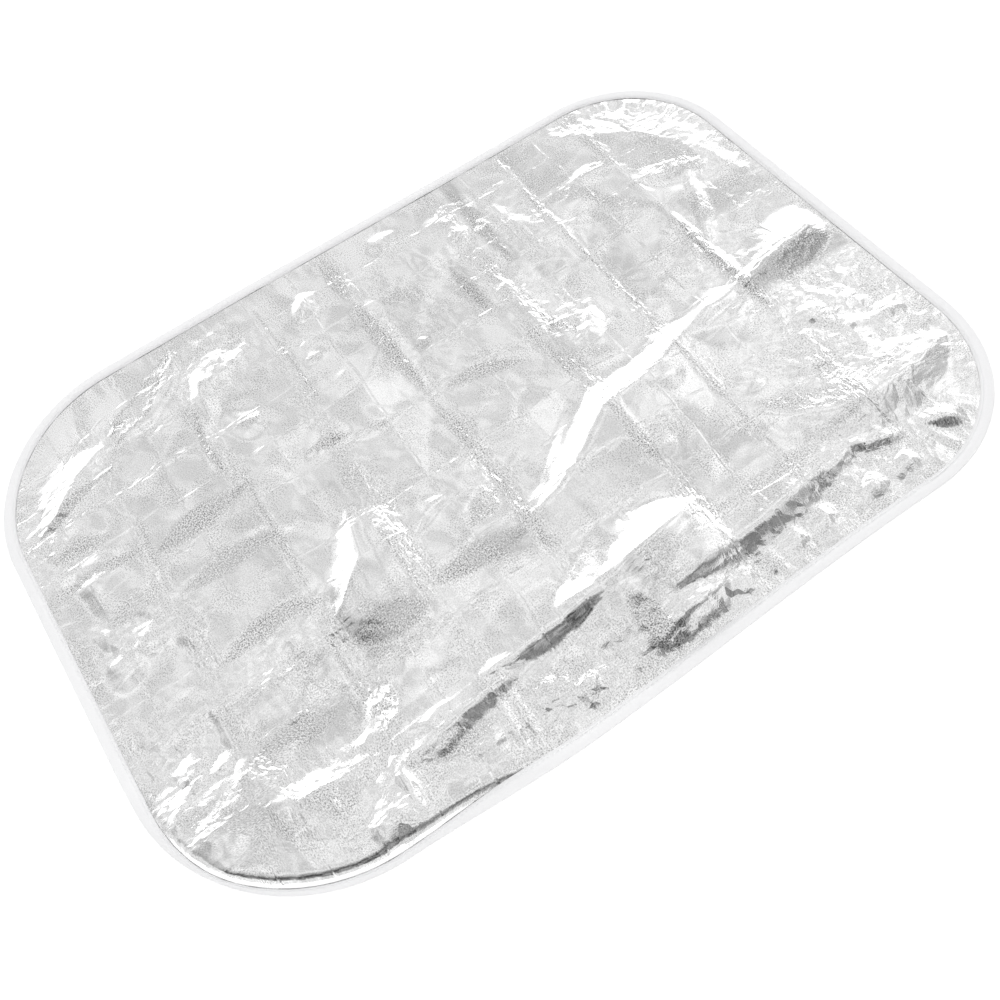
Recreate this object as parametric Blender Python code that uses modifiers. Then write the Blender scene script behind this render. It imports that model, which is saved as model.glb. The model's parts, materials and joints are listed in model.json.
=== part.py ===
"""Silver sun cover for a child's car seat, as it lies on a table after it was unfolded.

It is one sheet of metallised cloth with rounded corners and one white tape. The tape is folded
round the sheet's edge like a U and sewn on. The sheet keeps the creases of its packing: straight
ones across its width, and crumples between them.

Plan: X runs along the length and Y across the width. Z is up from the surface that it lies on.
"""
import math

import bpy
import bmesh
import numpy as np

MM = 0.001

# The cover's plan, edge of the tape to edge of the tape
LENGTH = 850 * MM
WIDTH = 612 * MM
RADIUS_FAR_RIGHT = 128 * MM
RADIUS_FAR_LEFT = 159 * MM
RADIUS_NEAR_LEFT = 166 * MM
RADIUS_NEAR_RIGHT = 148 * MM

# The cloth, and the tape folded round it
CLOTH = 0.5 * MM
TAPE = 0.5 * MM
TAPE_REACH = 12 * MM
SLOT = 1.7 * MM
EDGE_INSET = 2 * MM
RIM = 14 * MM

# The near left rim stands on its tape: how steeply, how round its shoulder is, how far it draws in
TURN_ANGLE = math.radians(78)
TURN_START = -180 * MM
TURN_END = 300 * MM
TURN_RAMP = 165 * MM
SHOULDER = 9 * MM
DRAW_IN = 6 * MM
BACK_SLOPE = 130 * MM

# Cells of the cloth's grid between two packing creases, and across the width
CELLS_PER_PANEL = 5
ROWS = 32

# The packing creases along X in millimetres, and how high the cloth stands over each
CREASES = (-318, -212, -115, -15, 112, 202, 297)
CREASE_HEIGHTS = (4.0, 2.0, 5.5, 1.5, 6.0, 1.5, 4.5)
EDGE_HEIGHT = 1.5
CREASE_LEAN = 0.03

# Each crease is pinched into a narrow ridge, which comes and goes along it
PINCH = 2.4
PINCH_HALF_WIDTH = 7
PINCH_WAVE = 150

HALF_LENGTH = LENGTH / 2
HALF_WIDTH = WIDTH / 2
HALF_STACK = SLOT / 2 + TAPE

SHEET_COLOUR = (0.80, 0.81, 0.82, 1)
TAPE_COLOUR = (0.93, 0.93, 0.94, 1)

# Every fold is a crest over a path in plan: its height, then the width of its flank on the left of
# the path and on the right. A short flank is a bright or dark facet, and a long one fades away.
# All of it is in millimetres.
FOLDS = (
    # The long ridge behind the near edge, in short lengths
    ([(-208, -238), (-160, -231), (-108, -224)], 8, 50, 11),
    ([(-130, -216), (-70, -213), (-14, -213)], 9, 45, 13),
    ([(44, -246), (80, -242), (130, -240), (200, -233), (262, -231)], 11, 50, 14),
    ([(240, -223), (264, -238), (298, -249)], 6, 20, 6),
    ([(306, -243), (330, -258), (360, -279)], 8, 24, 8),
    # The broad facets that climb towards it
    ([(-14, -108), (38, -104), (70, -84), (105, -62), (150, -56), (200, -34)], 12, 32, 120),
    ([(-36, -198), (8, -204), (60, -198), (122, -178)], 18, 50, 96),
    ([(-214, -94), (-190, -82), (-158, -54), (-146, -4)], 9, 24, 95),
    ([(204, -140), (226, -172), (262, -195), (305, -202), (355, -198), (410, -182)], 11, 52, 34),
    ([(296, -24), (370, -12), (452, 8)], 12, 42, 28),
    # The far right corner: a curved fold, with the gathers of the edge behind it
    ([(414, 50), (396, 105), (368, 172), (345, 210), (300, 247), (262, 284)], 9, 44, 22),
    ([(294, 160), (330, 142), (378, 132)], 5, 22, 18),
    ([(244, 197), (270, 198), (300, 186)], 4, 15, 20),
    ([(300, 30), (324, 80), (350, 140)], 5, 7, 16),
    ([(200, 178), (250, 172), (288, 140), (300, 108)], 4, 26, 34),
    # The far left corner: a puffed finger and the lens beyond it
    ([(-392, 158), (-368, 166), (-336, 194), (-296, 214)], 5.5, 34, 9),
    ([(-322, 208), (-250, 213), (-212, 238), (-188, 286)], 3, 24, 6),
    # Creases of the second folding at the left end, each steeper towards the near edge
    ([(-414, 104), (-380, 104), (-338, 92)], 2.5, 16, 14),
    ([(-396, 124), (-362, 132), (-334, 126)], 4.5, 62, 22),
    ([(-412, -12), (-365, -8), (-312, -2)], 3, 24, 14),
    ([(-378, 30), (-345, 46), (-312, 52)], 5, 66, 26),
    ([(-312, 70), (-270, 88), (-196, 92)], 5, 76, 24),
    ([(-307, 26), (-250, 36), (-200, 33)], 4.5, 76, 24),
    ([(-318, -62), (-290, -52), (-240, -46), (-196, -54)], 5.5, 76, 26),
    # The near left quarter
    ([(-328, -126), (-290, -122), (-252, -112)], 4, 60, 24),
    ([(-254, -94), (-232, -100), (-212, -100)], 5, 22, 20),
    ([(-306, -150), (-244, -148)], 6, 60, 34),
    ([(-410, -118), (-350, -92), (-326, -84)], 4, 60, 24),
    ([(-334, -204), (-300, -214), (-268, -218), (-236, -218)], 7, 18, 20),
    ([(-270, -260), (-250, -270), (-230, -283)], 6, 26, 34),
    # The middle
    ([(-206, -104), (-170, -100), (-128, -102)], 5, 70, 46),
    ([(-112, -104), (-60, -98), (-14, -102)], 6, 70, 34),
    ([(-6, 66), (24, 68), (50, 60)], 4, 60, 20),
)


def smooth(t):
    """Rises from 0 to 1 as t does, level at both ends."""
    t = np.clip(t, 0, 1)
    return t * t * (3 - 2 * t)


def fold_height(x, y, path, height, left, right):
    """Height over plan points, in millimetres, of one fold: a tent across its path, pointed at its two ends.

    Each point takes its nearest place on the path. There the crest is `height` times an ellipse of
    the share of the path's length, and both flanks narrow with it, so that they keep their slope.
    """
    corners = np.array(path, float)
    steps = np.diff(corners, axis=0)
    lengths = np.hypot(steps[:, 0], steps[:, 1])
    starts = np.concatenate([[0], np.cumsum(lengths)])
    nearest = np.full(x.shape, np.inf)
    share = np.zeros(x.shape)
    side = np.zeros(x.shape)
    for corner, step, length, start in zip(corners, steps, lengths, starts):
        along = np.clip(((x - corner[0]) * step[0] + (y - corner[1]) * step[1]) / length**2, 0, 1)
        away_x = x - corner[0] - along * step[0]
        away_y = y - corner[1] - along * step[1]
        distance = np.hypot(away_x, away_y)
        closer = distance < nearest
        nearest = np.where(closer, distance, nearest)
        share = np.where(closer, (start + along * length) / starts[-1], share)
        side = np.where(closer, step[0] * away_y - step[1] * away_x, side)
    ellipse = 2 * np.sqrt(share * (1 - share)) + 1e-6
    flank = np.where(side > 0, left, right) * ellipse
    return height * ellipse * np.clip(1 - nearest / flank, 0, 1)


def crumple(x, y):
    """Height of the creased cloth over plan points, in metres: the packing creases, then every fold on them."""
    x, y = x / MM, y / MM
    half = HALF_LENGTH / MM
    straight = x - CREASE_LEAN * y * (1 - (x / half) ** 2)
    edges = (EDGE_HEIGHT,)
    height = np.interp(straight, (-half, *CREASES, half), edges + CREASE_HEIGHTS + edges)
    for number, crease in enumerate(CREASES):
        share = 0.6 + 0.4 * np.cos(2 * math.pi * y / PINCH_WAVE + number)
        height = height + PINCH * share * np.clip(1 - np.abs(straight - crease) / PINCH_HALF_WIDTH, 0, 1)
    for path, crest, left, right in FOLDS:
        height = height + fold_height(x, y, path, crest, left, right)
    return height * MM


def rim_of(u, v):
    """Splits plan parameters into a place on the outline and a distance in from it.

    A corner's square becomes a quarter disc: each L-shaped line of the square is bent into an arc
    with the corner's own centre, so a line that runs along the edge goes on round the corner.
    Returns the outline's point, the direction in from it, the distance, and the place along the
    outline of the near left corner, 0 at the corner's middle and positive along the near edge.
    """
    side_x = np.where(u < 0, -1.0, 1.0)
    side_y = np.where(v < 0, -1.0, 1.0)
    far = np.where(u < 0, RADIUS_FAR_LEFT, RADIUS_FAR_RIGHT)
    near = np.where(u < 0, RADIUS_NEAR_LEFT, RADIUS_NEAR_RIGHT)
    radius = np.where(v < 0, near, far)
    over_x = np.abs(u) - (HALF_LENGTH - radius)
    over_y = np.abs(v) - (HALF_WIDTH - radius)
    corner = (over_x > 0) & (over_y > 0)
    ring = np.where(corner, np.maximum(over_x, over_y), 1)
    ratio = np.where(corner, np.minimum(over_x, over_y), 0) / ring
    angle = math.pi / 4 * ratio
    angle = np.where(over_y > over_x, math.pi / 2 - angle, angle)
    end_side = ~corner & (HALF_LENGTH - np.abs(u) < HALF_WIDTH - np.abs(v))
    long_side = ~corner & ~end_side

    out_x = np.where(corner, np.cos(angle), end_side) * side_x
    out_y = np.where(corner, np.sin(angle), long_side) * side_y
    inside = np.where(end_side, HALF_LENGTH - np.abs(u), HALF_WIDTH - np.abs(v))
    inside = np.where(corner, radius - ring, inside)
    edge_x = np.where(corner, side_x * (HALF_LENGTH - radius) + radius * out_x, u)
    edge_x = np.where(end_side, side_x * HALF_LENGTH, edge_x)
    edge_y = np.where(corner, side_y * (HALF_WIDTH - radius) + radius * out_y, v)
    edge_y = np.where(long_side, side_y * HALF_WIDTH, edge_y)

    quarter = math.pi / 4 * RADIUS_NEAR_LEFT
    along = np.where(corner & (u < 0) & (v < 0), RADIUS_NEAR_LEFT * (angle - math.pi / 4), -LENGTH)
    on_near = long_side & (v < 0)
    on_left = end_side & (u < 0)
    along = np.where(on_near, quarter + u + HALF_LENGTH - RADIUS_NEAR_LEFT, along)
    along = np.where(on_left, -quarter - (v + HALF_WIDTH - RADIUS_NEAR_LEFT), along)
    return edge_x, edge_y, -out_x, -out_y, inside, along


def turn_of(along):
    """Angle at which the rim stands up from the table, by its place along the near left outline."""
    rise = smooth((along - TURN_START) / TURN_RAMP)
    fall = smooth((TURN_END - along) / TURN_RAMP)
    return TURN_ANGLE * rise * fall


def sway(x, y):
    """The long edges aren't quite straight as the cover lies: how far a point moves along Y."""
    far_edge = (1 + 3 * np.cos(math.pi * (x / MM + 215) / 495)) * MM
    near_edge = 4 * np.cos(math.pi * (x / MM - 230) / 340) * MM
    reach = np.abs(y) / HALF_WIDTH
    return y + np.where(y > 0, far_edge, near_edge) * reach**3


def rim_point(rim, inside, above):
    """A point of the rim's section: `inside` in from the tape's edge along the cloth, `above` over its middle."""
    edge_x, edge_y, in_x, in_y, _, along = rim
    turn = turn_of(along)
    draw = DRAW_IN * turn / TURN_ANGLE
    reach = draw + inside * np.cos(turn) - above * np.sin(turn)
    x = edge_x + in_x * reach
    y = edge_y + in_y * reach
    z = HALF_STACK * np.cos(turn) + inside * np.sin(turn) + above * np.cos(turn)
    return np.stack([x, sway(x, y), z], axis=-1)


def cloth_point(u, v):
    """Where the cloth's middle lies over its plan parameters.

    The outer strip, inside the tape, is straight across. Where the rim is turned, the strip stands at
    that angle, a round shoulder brings the cloth level again, and it falls slowly to the table.
    """
    rim = rim_of(u, v)
    edge_x, edge_y, in_x, in_y, inside, along = rim
    turn = turn_of(along)
    draw = DRAW_IN * turn / TURN_ANGLE
    bend = np.clip((inside - RIM) / SHOULDER, 0, turn)
    strip = np.minimum(inside, RIM)
    level = np.maximum(inside - RIM - SHOULDER * turn, 0)
    reach = draw + strip * np.cos(turn) + SHOULDER * (np.sin(turn) - np.sin(turn - bend)) + level
    lost = inside - reach
    back = smooth(level / BACK_SLOPE)
    reach = reach + lost * back
    rise = strip * np.sin(turn) + SHOULDER * (np.cos(turn - bend) - np.cos(turn))
    x = edge_x + in_x * reach
    y = edge_y + in_y * reach
    folds = crumple(edge_x + in_x * inside, edge_y + in_y * inside)
    z = HALF_STACK * np.cos(turn) + rise * (1 - back) + folds * smooth((inside - RIM) / (20 * MM))
    return np.stack([x, sway(x, y), z], axis=-1)


def columns():
    """The grid's lines across the length: the rims, each crease with its two flanks, and even cells between."""
    outer = HALF_LENGTH - EDGE_INSET
    inner = HALF_LENGTH - RIM
    lines = [-outer]
    start = -inner
    for crease in CREASES:
        flank = (crease - PINCH_HALF_WIDTH) * MM
        lines.extend([*np.linspace(start, flank, CELLS_PER_PANEL + 1), crease * MM])
        start = (crease + PINCH_HALF_WIDTH) * MM
    return np.array([*lines, *np.linspace(start, inner, CELLS_PER_PANEL + 1), outer])


def rows():
    """The grid's lines across the width: the two rims, and even cells between them."""
    outer = HALF_WIDTH - EDGE_INSET
    inner = HALF_WIDTH - RIM
    return np.array([-outer, *np.linspace(-inner, inner, ROWS + 1), outer])


def leaned(u, v):
    """The packing creases lean a little, so the grid's columns lean with them, apart from the two ends."""
    return u + CREASE_LEAN * v * (1 - (u / HALF_LENGTH) ** 2)


def radial(u, v):
    """Moves the outermost points of each corner onto the radii of the ring inside them.

    The ring at `RIM` and the one at the cloth's edge then cross the tape's section squarely. The two
    points beside a corner's middle stay between it and their neighbours.
    """
    far = np.where(u < 0, RADIUS_FAR_LEFT, RADIUS_FAR_RIGHT)
    near = np.where(u < 0, RADIUS_NEAR_LEFT, RADIUS_NEAR_RIGHT)
    radius = np.where(v < 0, near, far)
    over_x = np.abs(u) - (HALF_LENGTH - radius)
    over_y = np.abs(v) - (HALF_WIDTH - radius)
    ring = np.maximum(over_x, over_y)
    lesser = np.minimum(over_x, over_y)
    outermost = (lesser > 0) & (ring > radius - RIM + MM) & (lesser < ring - MM)
    share = np.clip((radius - RIM - lesser) / RIM, 0, 1)
    grown = np.where(outermost, lesser * (RIM - EDGE_INSET) / (radius - RIM) * share, 0)
    wider = over_x < over_y
    return u + np.sign(u) * np.where(wider, grown, 0), v + np.sign(v) * np.where(wider, 0, grown)


def mesh_object(name, bm, colour, roughness, metallic, collection):
    """Makes the bmesh an object of the collection, with a material of its own."""
    mesh = bpy.data.meshes.new(name)
    bm.to_mesh(mesh)
    bm.free()
    material = bpy.data.materials.new(name)
    material.use_nodes = True
    surface = material.node_tree.nodes["Principled BSDF"]
    surface.inputs["Base Color"].default_value = colour
    surface.inputs["Roughness"].default_value = roughness
    surface.inputs["Metallic"].default_value = metallic
    mesh.materials.append(material)
    mesh.shade_smooth()
    obj = bpy.data.objects.new(name, mesh)
    collection.objects.link(obj)
    return obj


def thicken(obj, thickness):
    wall = obj.modifiers.new("wall", "SOLIDIFY")
    wall.thickness = thickness
    wall.offset = 0
    wall.use_even_offset = True


def grid_of(columns_count, rows_count):
    """A flat grid of that many cells, and each vertex's column and row."""
    bm = bmesh.new()
    bmesh.ops.create_grid(bm, x_segments=columns_count, y_segments=rows_count, size=0.5)
    places = np.array([vert.co for vert in bm.verts]) + 0.5
    column = np.rint(places[:, 0] * columns_count).astype(int)
    row = np.rint(places[:, 1] * rows_count).astype(int)
    return bm, column, row


def move(bm, points):
    for vert, point in zip(bm.verts, points):
        vert.co = point


def make_cover_sheet(collection):
    """The metallised cloth: a grid with its lines on the creases, laid over the folds."""
    across, along = columns(), rows()
    bm, column, row = grid_of(len(across) - 1, len(along) - 1)
    v = along[row]
    u, v = radial(leaned(across[column], v), v)
    move(bm, cloth_point(u, v))
    bmesh.ops.triangulate(bm, faces=bm.faces, quad_method="FIXED")
    sheet = mesh_object("cover_sheet", bm, SHEET_COLOUR, 0.28, 1.0, collection)
    thicken(sheet, CLOTH)
    return sheet


def outline_stations():
    """The plan parameters of the cloth's boundary, once round, and which stations are on the two long edges."""
    across, along = columns(), rows()
    low, high = along[0], along[-1]
    left, right = across[0], across[-1]
    u = np.concatenate([across[:-1], np.full(len(along) - 1, right), across[:0:-1], np.full(len(along) - 1, left)])
    v = np.concatenate([np.full(len(across) - 1, low), along[:-1], np.full(len(across) - 1, high), along[:0:-1]])
    long_edge = np.concatenate([
        np.full(len(across) - 1, True),
        np.full(len(along) - 1, False),
        np.full(len(across) - 1, True),
        np.full(len(along) - 1, False),
    ])
    return *radial(leaned(u, v), v), long_edge


def make_edge_binding(collection):
    """The tape: a strip rolled once round the outline, folded like a U over the cloth's edge.

    Its cells are cut along the same diagonals as the cloth's rim, so that both twist alike.
    """
    leg = SLOT / 2 + TAPE / 2
    fold = ((TAPE_REACH, leg), (1.3 * MM, leg), (TAPE / 2, 0), (1.3 * MM, -leg), (TAPE_REACH, -leg))
    u, v, long_edge = outline_stations()
    bm, station, place = grid_of(len(u), len(fold) - 1)
    station = station % len(u)
    rim = rim_of(u[station], v[station])
    section = np.array(fold)[place]
    move(bm, rim_point(rim, section[:, 0], section[:, 1]))
    bm.faces.ensure_lookup_table()
    other_way = []
    for index, face in enumerate(bm.faces):
        upper_leg = index // len(u) < len(fold) // 2
        if upper_leg == bool(long_edge[index % len(u)]):
            other_way.append(face)
    rest = set(bm.faces) - set(other_way)
    bmesh.ops.triangulate(bm, faces=other_way, quad_method="ALTERNATE")
    bmesh.ops.triangulate(bm, faces=[face for face in bm.faces if face in rest], quad_method="FIXED")
    bmesh.ops.remove_doubles(bm, verts=bm.verts, dist=1e-6)
    bmesh.ops.recalc_face_normals(bm, faces=bm.faces)
    binding = mesh_object("edge_binding", bm, TAPE_COLOUR, 0.75, 0.0, collection)
    thicken(binding, TAPE)
    return binding


def main():
    for obj in list(bpy.data.objects):
        bpy.data.objects.remove(obj)
    collection = bpy.data.collections.new("car_seat_sun_cover")
    bpy.context.scene.collection.children.link(collection)
    make_cover_sheet(collection)
    make_edge_binding(collection)


main()
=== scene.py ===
# %% [markdown]
# # A crinkled silver sun cover
#
# The real object is one sheet of cloth with a thin coat of aluminium, and one white tape folded
# round its edge. It was folded small in a packet, so it lies full of creases. Silver shows no
# colour of its own: it shows the studio, bent by every crease. So most of this lesson is about the
# form of the sheet, and the rest is about what the studio gives it to reflect.

# %% Load the packed model
import json
import math

import bpy
import numpy as np
from mathutils import Matrix, Vector

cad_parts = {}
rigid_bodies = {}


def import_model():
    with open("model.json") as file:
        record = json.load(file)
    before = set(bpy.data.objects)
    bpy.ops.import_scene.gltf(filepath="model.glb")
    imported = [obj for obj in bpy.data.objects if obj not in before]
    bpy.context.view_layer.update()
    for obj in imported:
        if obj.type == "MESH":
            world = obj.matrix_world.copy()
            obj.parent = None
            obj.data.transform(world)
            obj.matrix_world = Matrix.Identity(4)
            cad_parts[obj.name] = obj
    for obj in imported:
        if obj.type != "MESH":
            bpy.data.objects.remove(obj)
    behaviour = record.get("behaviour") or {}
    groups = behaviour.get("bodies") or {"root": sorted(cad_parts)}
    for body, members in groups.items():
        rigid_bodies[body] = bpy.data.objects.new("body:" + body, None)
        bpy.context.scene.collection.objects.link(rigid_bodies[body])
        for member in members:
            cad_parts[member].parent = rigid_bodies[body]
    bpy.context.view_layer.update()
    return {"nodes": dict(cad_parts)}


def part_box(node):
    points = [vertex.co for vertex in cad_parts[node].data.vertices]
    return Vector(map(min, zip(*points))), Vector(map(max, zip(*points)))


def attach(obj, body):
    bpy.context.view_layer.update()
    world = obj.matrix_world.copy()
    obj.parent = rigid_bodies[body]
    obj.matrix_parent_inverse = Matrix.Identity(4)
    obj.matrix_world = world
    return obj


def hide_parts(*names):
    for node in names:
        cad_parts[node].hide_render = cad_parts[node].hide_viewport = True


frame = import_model()
MM = 0.001
print("nodes:", sorted(frame["nodes"]))

# %% [markdown]
# ## The camera
#
# The photograph looks down on the cover from beyond its near left corner. The camera is given by
# where it looks, from which direction, how far away it stands, and how much it is rolled. A camera
# object looks along its own -Z, so its matrix has the directions right, up and back as columns.

# %% Place the camera
LOOK_AT = Vector((-0.0252, -0.0768, 0.0))
AZIMUTH = math.radians(-20.07)
ELEVATION = math.radians(57.95)
ROLL = math.radians(-15.71)
DISTANCE = 1.0607
FOCAL_LENGTH = 42.46
SENSOR = 36.0

back = Vector((
    math.sin(AZIMUTH) * math.cos(ELEVATION),
    -math.cos(AZIMUTH) * math.cos(ELEVATION),
    math.sin(ELEVATION),
))
level = Vector((math.cos(AZIMUTH), math.sin(AZIMUTH), 0.0))
upward = back.cross(level)
right = level * math.cos(ROLL) + upward * math.sin(ROLL)
up = upward * math.cos(ROLL) - level * math.sin(ROLL)

camera_data = bpy.data.cameras.new("camera")
camera_data.lens = FOCAL_LENGTH
camera_data.sensor_width = SENSOR
camera = bpy.data.objects.new("camera", camera_data)
turned = Matrix((right, up, back)).transposed().to_4x4()
camera.matrix_world = Matrix.Translation(LOOK_AT + back * DISTANCE) @ turned
bpy.context.scene.collection.objects.link(camera)
bpy.context.scene.camera = camera
print("camera at", [round(value, 3) for value in camera.matrix_world.translation])

# %% [markdown]
# ## Shader maths that reads like maths
#
# A material is a graph of nodes, and graphs are hard to read as code. The small class below wraps
# one socket. An expression such as `1 - mask * 0.5` then adds the Math nodes by itself. Every other
# node comes from `node`, which sets the node's own settings first and its sockets after that. Three
# short methods stand for what is needed most: one axis of a vector, a value held between 0 and 1,
# and a sine.

# %% A class for sockets
class Wire:
    """One output socket of a node tree, with arithmetic that adds Math nodes."""

    def __init__(self, tree, socket=None):
        self.tree = tree
        self.socket = socket

    def node(self, kind, settings=None, inputs=None, output=0):
        """Adds a node: its settings, then the values or wires of its inputs. Returns one output."""
        made = self.tree.nodes.new(kind)
        for name, value in (settings or {}).items():
            if name == "stops":
                set_stops(made.color_ramp, value)
            else:
                setattr(made, name, value)
        for name, value in (inputs or {}).items():
            if isinstance(value, Wire):
                self.tree.links.new(value.socket, made.inputs[name])
            else:
                made.inputs[name].default_value = value
        return Wire(self.tree, made.outputs[output])

    def math(self, operation, first, second):
        return self.node("ShaderNodeMath", {"operation": operation}, {0: first, 1: second})

    def __add__(self, other):
        return self.math("ADD", self, other)

    def __radd__(self, other):
        return self.math("ADD", other, self)

    def __sub__(self, other):
        return self.math("SUBTRACT", self, other)

    def __rsub__(self, other):
        return self.math("SUBTRACT", other, self)

    def __mul__(self, other):
        return self.math("MULTIPLY", self, other)

    def __rmul__(self, other):
        return self.math("MULTIPLY", other, self)

    def __truediv__(self, other):
        return self.math("DIVIDE", self, other)

    def __rtruediv__(self, other):
        return self.math("DIVIDE", other, self)

    def axis(self, name):
        """One of the three numbers of a vector wire: X, Y or Z."""
        return self.node("ShaderNodeSeparateXYZ", None, {0: self}, name)

    def held(self):
        """The wire's value kept between 0 and 1."""
        return self.node("ShaderNodeMath", {"operation": "MULTIPLY", "use_clamp": True}, {0: self, 1: 1.0})

    def sine(self):
        return self.math("SINE", self, 0.0)


def set_stops(ramp, stops):
    """Gives a colour ramp its stops: pairs of a place from 0 to 1 and a grey or a colour."""
    while len(ramp.elements) > 1:
        ramp.elements.remove(ramp.elements[-1])
    for number, (place, shade) in enumerate(stops):
        stop = ramp.elements[0] if number == 0 else ramp.elements.new(place)
        stop.position = place
        stop.color = (shade, shade, shade, 1) if isinstance(shade, (int, float)) else shade


def new_material(name):
    """An empty node material: its wire to build from, and its Principled node."""
    material = bpy.data.materials.new(name)
    material.use_nodes = True
    principled = material.node_tree.nodes["Principled BSDF"]
    return material, Wire(material.node_tree), principled


def connect(wire, principled, name):
    """Links a wire to the named socket of a shader."""
    wire.tree.links.new(wire.socket, principled.inputs[name])


print("methods of a wire:", [name for name in vars(Wire) if not name.startswith("__")])

# %% [markdown]
# ## What the silver reflects
#
# A mirror needs something to show. The studio here is a plain light room, with a bright band low
# on its far side and a dim end behind the camera. Seen by this camera, a level patch of cloth shows
# the light grey wall above that band. Leaned fifteen degrees away from the camera it meets the
# bright band, and leaned twenty-five degrees towards the camera it meets the dim end. At those two
# edges the grain of the cloth starts to sparkle, just as in the photograph.
#
# How far a direction points to the far side gives the first colour ramp. How far it points to one
# side gives the second, which lets the creases across the width show a light and a dark flank. A
# product of two sine waves stands for the furniture of the room: soft light and dark shapes, so
# that two flat facets seldom show the same grey. Towards the floor the walls are light again, so that
# the cover stays bright when it is seen from another side. Past the edge of the floor the camera
# itself sees plain white.
#
# Silver takes all its light from this room. The two softboxes are for what is matt: the tape, the
# thread and the floor. Mirrors don't see them.

# %% Light the studio
FAR_SIDE = (0.343, 0.939, 0.0)
RIGHT_SIDE = (0.939, -0.343, 0.0)
ROOM = (
    (0.00, 0.85), (0.05, 0.50), (0.11, 0.24), (0.27, 0.20), (0.34, 0.34), (0.40, 0.58), (0.46, 0.74),
    (0.54, 0.80), (0.66, 0.85), (0.80, 0.85), (0.92, 0.88), (1.00, 0.90),
)
BAND = ((0.0, 1.6), (0.41, 1.0), (0.47, 0.0), (1.0, 0.0))
SIDES = (
    (0.00, 0.45), (0.12, 0.66), (0.20, 0.86), (0.28, 1.00), (0.63, 1.00), (0.70, 1.10), (0.80, 1.24),
    (0.86, 0.70), (1.00, 0.40),
)
FURNITURE = 0.17
LOW_WALL = 0.85
LOW_WALL_TOP = 0.55
OVERHEAD_WATTS = 12
NEAR_FILL_WATTS = 10

world = bpy.data.worlds.new("studio")
bpy.context.scene.world = world
world.use_nodes = True
sky = Wire(world.node_tree)
background = world.node_tree.nodes["Background"]
direction = sky.node("ShaderNodeTexCoord", output="Generated")


def share_of(side):
    """How far the looked-up direction points to a side of the room, from -1 to 1."""
    return sky.node("ShaderNodeVectorMath", {"operation": "DOT_PRODUCT"}, {0: direction, 1: side}, "Value")


def ramp(stops, place):
    """A grey for each place from 0 to 1: the stops' greys, with straight lines between them."""
    return sky.node("ShaderNodeValToRGB", {"stops": stops}, {0: place})


towards, sideways, height = share_of(FAR_SIDE), share_of(RIGHT_SIDE), direction.axis("Z")
room = ramp(ROOM, towards * 0.5 + 0.5)
sides = ramp(SIDES, sideways * 0.5 + 0.5)
rows = (towards * 12 + (sideways * 6 + 1).sine() * 1.2).sine()
columns = (sideways * 11 + (towards * 7 + 2).sine() * 1.2).sine()
low = ((LOW_WALL_TOP - height) * 8).held()
near_room = room + (LOW_WALL - room) * low * (towards * -4).held()
far_band = ramp(BAND, height) * ((towards - 0.5) * 6).held()
studio = (near_room + rows * columns * FURNITURE + far_band) * (sides + (1 - sides) * low)
seen = sky.node("ShaderNodeLightPath", output="Is Camera Ray")
lit = studio + (1 - studio) * seen
world.node_tree.links.new(lit.socket, background.inputs["Color"])


def softbox(name, place, width, height, power):
    """A rectangular lamp at a place, turned to face the cover's middle. Camera and mirrors miss it."""
    data = bpy.data.lights.new(name, "AREA")
    data.shape = "RECTANGLE"
    data.size = width
    data.size_y = height
    data.energy = power
    lamp = bpy.data.objects.new(name, data)
    lamp.location = place
    lamp.rotation_euler = Vector(place).to_track_quat("Z", "Y").to_euler()
    lamp.visible_camera = False
    lamp.visible_glossy = False
    bpy.context.scene.collection.objects.link(lamp)


softbox("overhead_softbox", (0.2, 0.2, 2.6), 1.6, 1.6, OVERHEAD_WATTS)
softbox("near_fill", (-0.9, -1.6, 1.1), 1.6, 0.8, NEAR_FILL_WATTS)
bpy.context.scene.view_settings.view_transform = "Standard"
print("room stops:", len(ROOM))

# %% [markdown]
# The floor is a plain white table. Its own colour is a little under white, and a weak glow that
# only the camera and mirrors see lifts it to white, so the shadow of the cover stays.

# %% Lay the floor
FLOOR_HALF = 6.0
FLOOR_DROP = 0.3 * MM
FLOOR_GLOW = 0.3

corners = FLOOR_HALF * np.array([(-1, -1), (1, -1), (1, 1), (-1, 1)])
floor_mesh = bpy.data.meshes.new("floor")
floor_mesh.from_pydata([(x, y, -FLOOR_DROP) for x, y in corners], [], [(0, 1, 2, 3)])
floor = bpy.data.objects.new("floor", floor_mesh)
bpy.context.scene.collection.objects.link(floor)
floor_paint, paint, principled = new_material("floor_paint")
principled.inputs["Base Color"].default_value = (0.92, 0.92, 0.92, 1)
principled.inputs["Roughness"].default_value = 0.9
principled.inputs["Specular IOR Level"].default_value = 0.0
kinds = ("Camera", "Glossy", "Transmission")
rays = [paint.node("ShaderNodeLightPath", output=f"Is {kind} Ray") for kind in kinds]
glow = (rays[0] + rays[1] + rays[2]) * FLOOR_GLOW
principled.inputs["Emission Color"].default_value = (1, 1, 1, 1)
connect(glow, principled, "Emission Strength")
floor_mesh.materials.append(floor_paint)
print("floor", 2 * FLOOR_HALF, "m square")

# %% [markdown]
# ## The outline and its rim
#
# Everything on the cover is placed by two numbers: how far round its outline, and how far in from
# it. The corners are arcs. A square grid is bent into them ring by ring: each L-shaped line of the
# corner's square becomes an arc with the corner's own centre. These are the part's own sizes, and
# the length is read from the packed tape. Only the slot in the tape is narrower here, so that the
# tape hugs the cloth. The near left rim is curled up and stands on its tape, and the long edges sway
# a little.

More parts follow.
